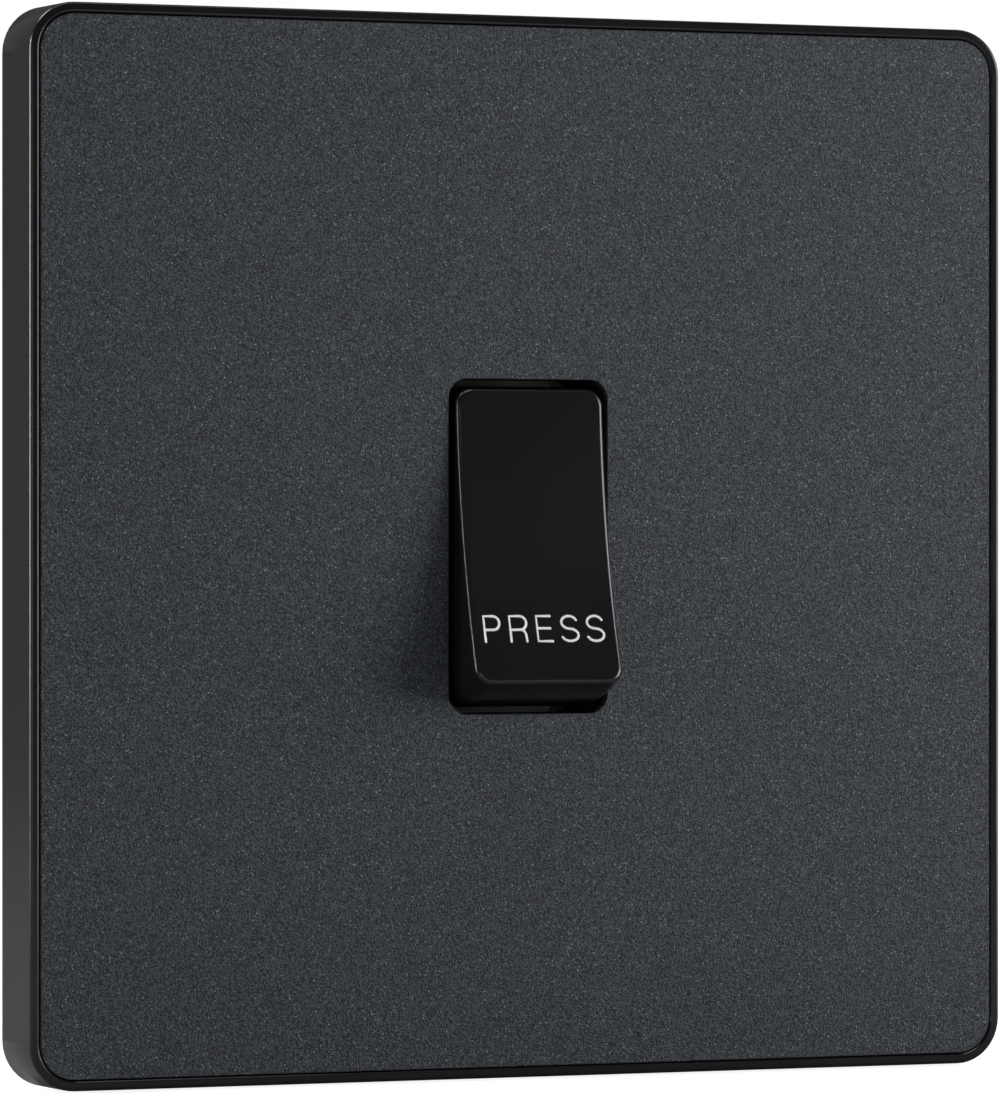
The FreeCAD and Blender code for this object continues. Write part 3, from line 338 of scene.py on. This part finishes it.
def make_metal_group():
    """Worked metal: a cloud of tone, and scratches drawn out along Z by the stretched position."""
    group, given, out = new_group(
        "worked_metal", {"Spangle": 260.0, "Scratch": 900.0}, ("Cloud", "Scratch", "Height")
    )
    where = group.nodes.new("ShaderNodeTexCoord").outputs["Object"]
    cloud = texture(group, NOISE, where, given.outputs["Spangle"], Detail=4.0, Distortion=0.8)
    stretch = group.nodes.new("ShaderNodeMapping")
    stretch.inputs["Scale"].default_value = (1.0, 1.0, 0.04)
    group.links.new(where, stretch.inputs["Vector"])
    lines = texture(group, NOISE, stretch.outputs[0], given.outputs["Scratch"], Detail=3.0)
    group.links.new(ramp(group, cloud.outputs["Fac"], 0.3, 0.7), out.inputs["Cloud"])
    group.links.new(ramp(group, lines.outputs["Fac"], 0.3, 0.7), out.inputs["Scratch"])
    group.links.new(lines.outputs["Fac"], out.inputs["Height"])
    return group


POWDER = make_powder_group()
MOULD = make_mould_group()
METAL = make_metal_group()
print("node groups:", [group.name for group in (POWDER, MOULD, METAL)])

# %% [markdown]
# ## The finishes
# Each finish is one short function that returns a material: it places the group that it needs,
# turns the group's masks into colour, roughness and bump, and leaves the plain numbers on the
# shader itself. The slate plate is a dark blue-grey metallic powder. The surround is a black,
# nearly smooth moulding. The rocker is nearly the same black, with an even fainter grain.

# %% Materials


def shaded(name, group, **numbers):
    """A Principled material with the group beside it. Plain numbers go straight on the shader."""
    material = bpy.data.materials.new(name)
    material.use_nodes = True
    tree = material.node_tree
    shader = tree.nodes["Principled BSDF"]
    for label, value in numbers.items():
        shader.inputs[label.replace("_", " ")].default_value = value
    effect = tree.nodes.new("ShaderNodeGroup")
    effect.node_tree = group
    return material, tree, shader, effect


def link_surface(tree, shader, effect, color, rough, bump):
    """Link a colour, a roughness (mask, span, base) and a bump (distance, strength)."""
    tree.links.new(color, shader.inputs["Base Color"])
    mask, span, base = rough
    roughness = math_node(tree, "MULTIPLY_ADD", effect.outputs[mask], span, base)
    tree.links.new(roughness, shader.inputs["Roughness"])
    relief = tree.nodes.new("ShaderNodeBump")
    relief.inputs["Distance"].default_value, relief.inputs["Strength"].default_value = bump
    tree.links.new(effect.outputs["Height"], relief.inputs["Height"])
    tree.links.new(relief.outputs[0], shader.inputs["Normal"])


def slate_powder():
    """Metallic powder coat: dark and light pebbles with brighter flakes."""
    dark, light, flake = (0.0060, 0.0075, 0.0105), (0.056, 0.0645, 0.0800), (0.34, 0.36, 0.40)
    material, tree, shader, effect = shaded("slate_powder", POWDER, Metallic=0.25)
    body = mix_colors(tree, effect.outputs["Tone"], dark, light)
    color = mix_colors(tree, effect.outputs["Sparkle"], body, flake)
    link_surface(tree, shader, effect, color, ("Tone", -0.10, 0.58), (0.00012, 1.0))
    return material


def black_moulding(name, base, roughness, bump):
    """Moulded black plastic: a faint grain in the bump and a slow drift of the gloss."""
    lighter = tuple(channel * 1.25 for channel in base)
    material, tree, shader, effect = shaded(name, MOULD)
    color = mix_colors(tree, effect.outputs["Cloud"], base, lighter)
    link_surface(tree, shader, effect, color, ("Cloud", 0.05, roughness), (bump, 0.5))
    return material


def pale_moulding(name, base):
    """The pale urea of the rear moulding and the nylon of the plunger."""
    shade = tuple(channel * 0.86 for channel in base)
    material, tree, shader, effect = shaded(name, MOULD)
    color = mix_colors(tree, effect.outputs["Cloud"], shade, base)
    link_surface(tree, shader, effect, color, ("Tone", 0.08, 0.40), (1e-5, 0.5))
    return material


def white_ink():
    """Pad print: white with a faint unevenness where the ink film is thin."""
    material, tree, shader, effect = shaded("white_print", MOULD, Roughness=0.45)
    effect.inputs["Cloud"].default_value = 1500.0
    color = mix_colors(tree, effect.outputs["Cloud"], (0.92, 0.92, 0.93), (0.98, 0.98, 0.98))
    tree.links.new(color, shader.inputs["Base Color"])
    return material


def worked_metal(name, dark, light, rough_base, rough_span, bump):
    """Plated, rolled or turned metal: clouds in its colour and scratches in its gloss."""
    material, tree, shader, effect = shaded(name, METAL, Metallic=1.0)
    color = mix_colors(tree, effect.outputs["Cloud"], dark, light)
    link_surface(tree, shader, effect, color, ("Scratch", rough_span, rough_base), (bump, 0.4))
    return material


FINISHES = {
    "slate_paint": slate_powder(),
    "black_moulding": black_moulding("black_surround", (0.0046, 0.0046, 0.0053), 0.18, 3e-6),
    "rocker_black": black_moulding("black_rocker", (0.0052, 0.0052, 0.0058), 0.19, 1e-6),
    "module_black": black_moulding("black_module", (0.0060, 0.0060, 0.0062), 0.50, 1e-5),
    "module_white": pale_moulding("white_urea", (0.70, 0.70, 0.66)),
    "plunger_nylon": pale_moulding("natural_nylon", (0.74, 0.73, 0.66)),
}
# slot: name, dark and light colour, base and span of the roughness, bump
METALS = {
    "zinc_steel": ("zinc_plate", (0.50, 0.53, 0.56), (0.72, 0.74, 0.76), 0.26, 0.18, 8e-6),
    "screw_steel": ("plated_screw", (0.55, 0.55, 0.52), (0.74, 0.74, 0.70), 0.20, 0.15, 4e-6),
    "spring_steel": ("spring_wire", (0.40, 0.40, 0.42), (0.60, 0.60, 0.62), 0.24, 0.12, 2e-6),
    "contact_brass": ("rolled_brass", (0.60, 0.42, 0.17), (0.80, 0.60, 0.29), 0.26, 0.14, 4e-6),
    "terminal_brass": ("turned_brass", (0.62, 0.44, 0.17), (0.82, 0.62, 0.28), 0.22, 0.16, 6e-6),
    "contact_silver": ("contact_silver", (0.70, 0.70, 0.68), (0.86, 0.86, 0.84), 0.30, 0.12, 3e-6),
}
for slot, numbers in METALS.items():
    FINISHES[slot] = worked_metal(*numbers)
print("finishes:", len(FINISHES))

# %% [markdown]
# ## Dressing the solids
# Every solid gets the finish that the record names for it. Real edges are never razor sharp, and a
# thin highlight on an edge is what makes a moulding read as solid, so the pieces listed below also
# get a weld and a small bevel that only touches edges sharper than the given angle. Blender shrinks
# a bevel everywhere as soon as it meets a short edge somewhere, so the two large pieces, whose long
# rims carry the highlights, have that limit switched off. The mesh itself is left as it came.

# %% Finishes and soft edges
slot_of = {part["node"]: part["material_slot"] for part in record["subparts"]}
EDGE_ANGLE = math.radians(35)
EDGE_SEGMENTS = 3
WELD_DISTANCE = 0.001
UNLIMITED = ("trim_frame", "face_plate")
TERMINALS = ("l1_terminal", "l2_terminal", "common_terminal", "earth_terminal")
EDGE_RADIUS = {
    "trim_frame": 0.20,
    "face_plate": 0.10,
    "mounting_yoke": 0.12,
    "switch_bezel": 0.12,
    "switch_housing": 0.15,
    **dict.fromkeys((*TERMINALS, "moving_contact", "case_screws"), 0.08),
}

for name, node in nodes.items():
    node.data.materials.clear()
    node.data.materials.append(FINISHES[slot_of[name]])
    if name in EDGE_RADIUS:
        weld = node.modifiers.new("weld", "WELD")
        weld.merge_threshold = WELD_DISTANCE * MM
        soften = node.modifiers.new("soft_edges", "BEVEL")
        soften.width = EDGE_RADIUS[name] * MM
        soften.segments = EDGE_SEGMENTS
        soften.limit_method = "ANGLE"
        soften.angle_limit = EDGE_ANGLE
        soften.use_clamp_overlap = name not in UNLIMITED
print("dressed:", len(nodes))

# %% [markdown]
# ## The word on the rocker
# The word is pad printed in white: strokes of one width with round ends, a few hundredths of a
# millimetre proud. A font would bring its own letter shapes, so each letter is drawn here as a few
# centre lines, and a curve with a round bevel gives them their width. The curve becomes a mesh, is
# pressed nearly flat and then laid on the real dished surface: a ray is shot at the rocker for
# every vertex, and the vertex is put where it lands. The word rides on the rocker, so it tips with
# it. Small things like letters, threads and springs are drawn in millimetres and scaled to metres
# at the end.

# %% Letters as centre lines
STROKE = 0.12
LETTER_HEIGHT = 2.26
ARC_STEPS = 10


def arc(across, up, radius_x, radius_z, first, last):
    """Points along part of an ellipse, angles in degrees from +X."""
    points = []
    for step in range(ARC_STEPS + 1):
        angle = math.radians(first + (last - first) * step / ARC_STEPS)
        points.append((across + radius_x * math.cos(angle), up + radius_z * math.sin(angle)))
    return points


TOP, BAR, BOWL = LETTER_HEIGHT, 1.04, 0.61
LETTERS = {
    "P": [
        [(0, 0), (0, TOP), *arc(0.85, (TOP + BAR) / 2, BOWL, (TOP - BAR) / 2, 90, -90), (0, BAR)],
    ],
    "R": [
        [(0, 0), (0, TOP), *arc(0.96, (TOP + BAR) / 2, BOWL, (TOP - BAR) / 2, 90, -90), (0, BAR)],
        [(0.96, BAR), *arc(0.99, 0.55, 0.46, 0.49, 70, 5), (1.51, 0)],
    ],
    "E": [
        [(1.30, TOP), (0, TOP), (0, 0), (1.37, 0)],
        [(0, 1.16), (1.25, 1.16)],
    ],
    "S": [
        [
            *arc(0.84, 1.69, 0.74, 0.57, 22, 270),
            *arc(0.84, 0.56, 0.80, 0.56, 90, -158),
        ],
    ],
}
print("letters:", list(LETTERS))

# %% Strokes to a flat print
TUBE_RESOLUTION = 2
CAP_SEGMENTS = 12
CAP_RINGS = 8
RAY_START = 30 * MM


def stroke_mesh(name, lines, stroke):
    """Round strokes along the lines, in the XZ plane, as one bmesh. Sizes are in millimetres."""
    curve = bpy.data.curves.new(name, "CURVE")
    curve.dimensions = "3D"
    curve.bevel_depth = stroke
    curve.bevel_resolution = TUBE_RESOLUTION
    for line in lines:
        spline = curve.splines.new("POLY")
        spline.points.add(len(line) - 1)
        for point, (across, up) in zip(spline.points, line):
            point.co = (across, 0, up, 1)
    holder = bpy.data.objects.new(name, curve)
    bpy.context.scene.collection.objects.link(holder)
    bpy.context.view_layer.update()
    graph = bpy.context.evaluated_depsgraph_get()
    tube = bpy.data.meshes.new_from_object(holder.evaluated_get(graph))
    bpy.data.objects.remove(holder)
    bpy.data.curves.remove(curve)
    shape = bmesh.new()
    shape.from_mesh(tube)
    bpy.data.meshes.remove(tube)
    for line in lines:
        for across, up in (line[0], line[-1]):
            bmesh.ops.create_uvsphere(
                shape,
                u_segments=CAP_SEGMENTS,
                v_segments=CAP_RINGS,
                radius=stroke,
                matrix=Matrix.Translation((across, 0, up)),
            )
    return shape


def surface_of(node):
    """A tree that rays can be shot at."""
    surface = bmesh.new()
    surface.from_mesh(node.data)
    tree = BVHTree.FromBMesh(surface)
    surface.free()
    return tree


def lay_on(shape, tree, base, towards, proud):
    """Put each vertex where a ray along the direction meets the surface, plus a share of its own
    height over the plane through the base point."""
    missed = 0
    for vertex in shape.verts:
        height = (vertex.co - base).dot(towards)
        start = vertex.co - towards * (height + RAY_START)
        landed, *_ = tree.ray_cast(start, towards)
        if landed is None:
            missed += 1
            continue
        vertex.co = landed + towards * height * proud
    return missed


def add_piece(name, shape, material, body):
    """Turn a bmesh into a piece that moves with a body."""
    mesh = bpy.data.meshes.new(name)
    shape.to_mesh(mesh)
    shape.free()
    mesh.materials.append(material)
    piece = bpy.data.objects.new(name, mesh)
    bpy.context.scene.collection.objects.link(piece)
    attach(piece, body)
    return piece


print("stroke radius:", STROKE)

# %% The word
WORD = "PRESS"
LETTER_LEFTS = (0.12, 2.57, 5.14, 7.40, 9.86)
WORD_WIDTH = 11.86
WORD_MIDDLE_Z = -7.16
REST_TILT = math.radians(10.2)
PROUD = 0.25

lines = []
for letter, left in zip(WORD, LETTER_LEFTS):
    for line in LETTERS[letter]:
        lines.append(
            [(left + across - WORD_WIDTH / 2, up - LETTER_HEIGHT / 2) for across, up in line]
        )
word = stroke_mesh("word", lines, STROKE)
bmesh.ops.scale(word, verts=word.verts, vec=(MM, MM, MM))
into_rocker = Vector((0, math.cos(REST_TILT), -math.sin(REST_TILT)))
bmesh.ops.rotate(word, verts=word.verts, matrix=Matrix.Rotation(-REST_TILT, 3, "X"))
rocker_face = surface_of(nodes["rocker"])
in_front = Vector((0, -RAY_START, WORD_MIDDLE_Z * MM))
word_middle, *_ = rocker_face.ray_cast(in_front, Vector((0, 1, 0)))
bmesh.ops.translate(word, verts=word.verts, vec=word_middle)
missed = lay_on(word, rocker_face, word_middle, into_rocker, PROUD)
word_piece = add_piece("press_word", word, white_ink(), "rocker")
print("word vertices:", len(word_piece.data.vertices), "missed:", missed)

# %% [markdown]
# ## Marks at the terminals
# On the back, the rear moulding names its three terminals for the electrician: L1, COM and L2, as
# every such module does. Here they are raised from the moulding, so they share its finish. The same
# strokes are used as for the word, turned half round so that they read from behind, and set down on
# the back by the same rays. They sit on the flat beside the wire ways.

# %% Terminal marks
MARK_STROKE = 0.15
MARK_HEIGHT = 1.9
MARK_PROUD = 0.9
MARK_X = 7.9
LETTER_GAP = 0.75
# name, letters, height of the row
MARKS = (("mark_l1", "L1", 11.2), ("mark_com", "COM", 3.65), ("mark_l2", "L2", -11.2))
# width and centre lines of each letter
MARK_LETTERS = {
    "L": (1.0, [[(0, MARK_HEIGHT), (0, 0), (1.0, 0)]]),
    "1": (0.45, [[(0, 1.45), (0.45, MARK_HEIGHT), (0.45, 0)]]),
    "2": (1.1, [[*arc(0.55, 1.37, 0.53, 0.53, 165, -35), (0.0, 0.0), (1.1, 0.0)]]),
    "C": (1.35, [arc(0.80, 0.95, 0.80, 0.95, 48, 312)]),
    "O": (1.6, [arc(0.80, 0.95, 0.80, 0.95, 0, 360)]),
    "M": (1.5, [[(0, 0), (0, MARK_HEIGHT), (0.75, 0.7), (1.5, MARK_HEIGHT), (1.5, 0)]]),
}
housing_back = surface_of(nodes["switch_housing"])


def terminal_mark(name, letters, middle_z):
    """Raised letters on the back of the rear moulding, read from behind."""
    strokes, across = [], 0.0
    for letter in letters:
        width, letter_lines = MARK_LETTERS[letter]
        strokes += [[(across + x, z) for x, z in line] for line in letter_lines]
        across += width + LETTER_GAP
    width = across - LETTER_GAP
    shape = stroke_mesh(name, strokes, MARK_STROKE)
    bmesh.ops.translate(shape, verts=shape.verts, vec=(-width / 2, 0, -MARK_HEIGHT / 2))
    bmesh.ops.rotate(shape, verts=shape.verts, matrix=Matrix.Rotation(math.pi, 3, "Z"))
    bmesh.ops.translate(shape, verts=shape.verts, vec=(MARK_X, 0, middle_z))
    bmesh.ops.scale(shape, verts=shape.verts, vec=(MM, MM, MM))
    missed = lay_on(shape, housing_back, Vector(), Vector((0, -1, 0)), MARK_PROUD)
    piece = add_piece(name, shape, FINISHES["module_white"], "plate")
    print(name, "vertices:", len(piece.data.vertices), "missed:", missed)


for mark in MARKS:
    terminal_mark(*mark)

# %% [markdown]
# ## Threads
# The construction model keeps the screws plain, because a fine thread is only a surface. Here each
# screw is cut open between its head and its tip, and a rolled thread takes the place of the plain
# shank. The clamp screws are threaded right out to the tip, so they keep only their heads. A thread
# is a zigzag that is spun about the axis while it climbs by one pitch a turn, which is what the
# spin operator does when it is given a step along the axis. The zigzag is as long as one pitch, so
# that each turn ends where the next begins, and the merge closes them into one skin. Two cuts
# square off the ends.

# %% Helpers for turned pieces
SHARP_ANGLE = math.radians(38)
AXIS_Y = Vector((0, 1, 0))
SAME_POINT = 0.0005


def merged_copy(node):
    """A copy of a construction mesh with its loose triangles joined."""
    shape = bmesh.new()
    shape.from_mesh(node.data)
    bmesh.ops.remove_doubles(shape, verts=shape.verts, dist=SAME_POINT * MM)
    return shape


def close_holes(shape):
    """Fill every open rim with a face."""
    bmesh.ops.holes_fill(shape, edges=[edge for edge in shape.edges if edge.is_boundary])


def cut_off(shape, level, beyond):
    """Cut across Y at a level and drop what lies beyond it (+1) or before it (-1)."""
    everything = [*shape.verts, *shape.edges, *shape.faces]
    bmesh.ops.bisect_plane(
        shape, geom=everything, plane_co=(0, level, 0), plane_no=(0, beyond, 0), clear_outer=True
    )
    close_holes(shape)


def shade_by_angle(shape):
    """Smooth faces, with the edges between steep neighbours kept crisp."""
    for face in shape.faces:
        face.smooth = True
    for edge in shape.edges:
        edge.smooth = len(edge.link_faces) == 2 and edge.calc_face_angle(0.0) < SHARP_ANGLE


def join_into(shape, other):
    """Add one bmesh to another through a throw-away mesh."""
    mesh = bpy.data.meshes.new("joined")
    other.to_mesh(mesh)
    other.free()
    shape.from_mesh(mesh)
    bpy.data.meshes.remove(mesh)


print("sharp angle:", round(math.degrees(SHARP_ANGLE)))

# %% A thread
THREAD_STEPS = 20
THREAD_MERGE = 0.002
THREAD_OVERLAP = 0.05
# share of the pitch, share of the depth
THREAD_PROFILE = ((0.0, 1.0), (0.15, 1.0), (0.52, 0.0), (0.63, 0.0), (1.0, 1.0))


def thread_mesh(across, up, start, end, radius, pitch, depth):
    """A threaded rod about the Y direction, between two levels. Sizes are in metres."""
    shape = bmesh.new()
    first = start - pitch
    profile = [
        shape.verts.new((across + radius - sunk * depth, first + along * pitch, up))
        for along, sunk in THREAD_PROFILE
    ]
    edges = [shape.edges.new(pair) for pair in zip(profile, profile[1:])]
    turns = math.ceil((end - start) / pitch) + 2
    bmesh.ops.spin(
        shape,
        geom=[*profile, *edges],
        cent=(across, 0, up),
        axis=AXIS_Y,
        dvec=(0, pitch / THREAD_STEPS, 0),
        angle=2 * math.pi * turns,
        steps=THREAD_STEPS * turns,
        use_duplicate=False,
    )
    bmesh.ops.remove_doubles(shape, verts=shape.verts, dist=THREAD_MERGE * MM)
    cut_off(shape, start, -1)
    cut_off(shape, end, 1)
    bmesh.ops.recalc_face_normals(shape, faces=shape.faces)
    return shape


def threaded_screw(node_name, start, end, radius, pitch, depth):
    """A thread between two levels of Y, with the screw's own ends. Sizes are in millimetres."""
    low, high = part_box(node_name)
    across, up = (low[0] + high[0]) / 2, (low[2] + high[2]) / 2
    sizes = [size * MM for size in (start, end, radius, pitch, depth)]
    thread = thread_mesh(across, up, *sizes)
    overlap = THREAD_OVERLAP * MM
    if low[1] < start * MM - overlap:
        near_end = merged_copy(nodes[node_name])
        cut_off(near_end, start * MM + overlap, 1)
        join_into(thread, near_end)
    far_end = merged_copy(nodes[node_name])
    cut_off(far_end, end * MM - overlap, -1)
    join_into(thread, far_end)
    shade_by_angle(thread)
    steel = FINISHES["screw_steel"]
    piece = add_piece(node_name + "_threaded", thread, steel, "plate")
    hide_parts(node_name)
    print(node_name, "faces:", len(piece.data.polygons))


print("steps per turn:", THREAD_STEPS)

# %% Threaded screws
FIXING_THREAD = {"start": -1.0, "end": 21.4, "radius": 1.75, "pitch": 0.6, "depth": 0.32}
CLAMP_THREAD = {"radius": 1.6, "pitch": 0.5, "depth": 0.27}

for name in ("fixing_screw_left", "fixing_screw_right"):
    threaded_screw(name, **FIXING_THREAD)
for name in ("l1_screw", "l2_screw", "common_screw"):
    threaded_screw(name, start=16.6, end=19.5, **CLAMP_THREAD)
threaded_screw("earth_screw", start=4.1, end=7.0, **CLAMP_THREAD)

# %% [markdown]
# ## Springs
# The return spring is wound from 0.44 mm wire: closed turns that lie flat at both ends and open
# turns between them. It is made like the thread, by spinning the wire's round section up its axis,
# with a small climb in the closed turns and a large one in the open ones. The small spring behind
# the plunger is wound the same way and rides on the rocker.

# %% Wound springs
COIL_STEPS = 28
WIRE_SIDES = 10


def wound_spring(radius, wire, length, open_turns):
    """A compression spring with closed ends along Y, from y = 0. Sizes are in millimetres, and
    the wire is given by its radius."""
    shape = bmesh.new()
    place = Matrix.Translation((radius, wire, 0))
    section = bmesh.ops.create_circle(
        shape, cap_ends=False, segments=WIRE_SIDES, radius=wire, matrix=place
    )
    geom = [*section["verts"], *shape.edges]
    thick = 2 * wire
    climb = (length - thick - 2 * thick) / open_turns
    for turns, rise in ((1, thick), (open_turns, climb), (1, thick)):
        wound = bmesh.ops.spin(
            shape,
            geom=geom,
            cent=(0, 0, 0),
            axis=AXIS_Y,
            dvec=(0, rise / COIL_STEPS, 0),
            angle=2 * math.pi * turns,
            steps=COIL_STEPS * turns,
            use_duplicate=False,
        )
        geom = wound["geom_last"]
    close_holes(shape)
    bmesh.ops.recalc_face_normals(shape, faces=shape.faces)
    bmesh.ops.scale(shape, verts=shape.verts, vec=(MM, MM, MM))
    shade_by_angle(shape)
    return shape


print("sections per turn:", COIL_STEPS)

# %% Return spring
RETURN_BACK = 1.95
RETURN_LENGTH = 10.9
RETURN_Z = -8.8
steel = FINISHES["spring_steel"]
shape = wound_spring(radius=2.0, wire=0.22, length=RETURN_LENGTH, open_turns=6)
front = (RETURN_BACK - RETURN_LENGTH) * MM
bmesh.ops.translate(shape, verts=shape.verts, vec=(0, front, RETURN_Z * MM))
spring = add_piece("return_spring_wound", shape, steel, "plate")
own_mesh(spring)
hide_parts("return_spring")
print("return spring faces:", len(spring.data.polygons))

# %% Plunger spring
PLUNGER_SEAT = Vector((0, -5.778, 0.248)) * MM
shape = wound_spring(radius=1.2, wire=0.15, length=4.5, open_turns=5)
bmesh.ops.rotate(shape, verts=shape.verts, matrix=Matrix.Rotation(-REST_TILT, 3, "X"))
bmesh.ops.translate(shape, verts=shape.verts, vec=PLUNGER_SEAT)
spring = add_piece("plunger_spring_wound", shape, steel, "rocker")
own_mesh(spring)
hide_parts("plunger_spring")
print("plunger spring faces:", len(spring.data.polygons))
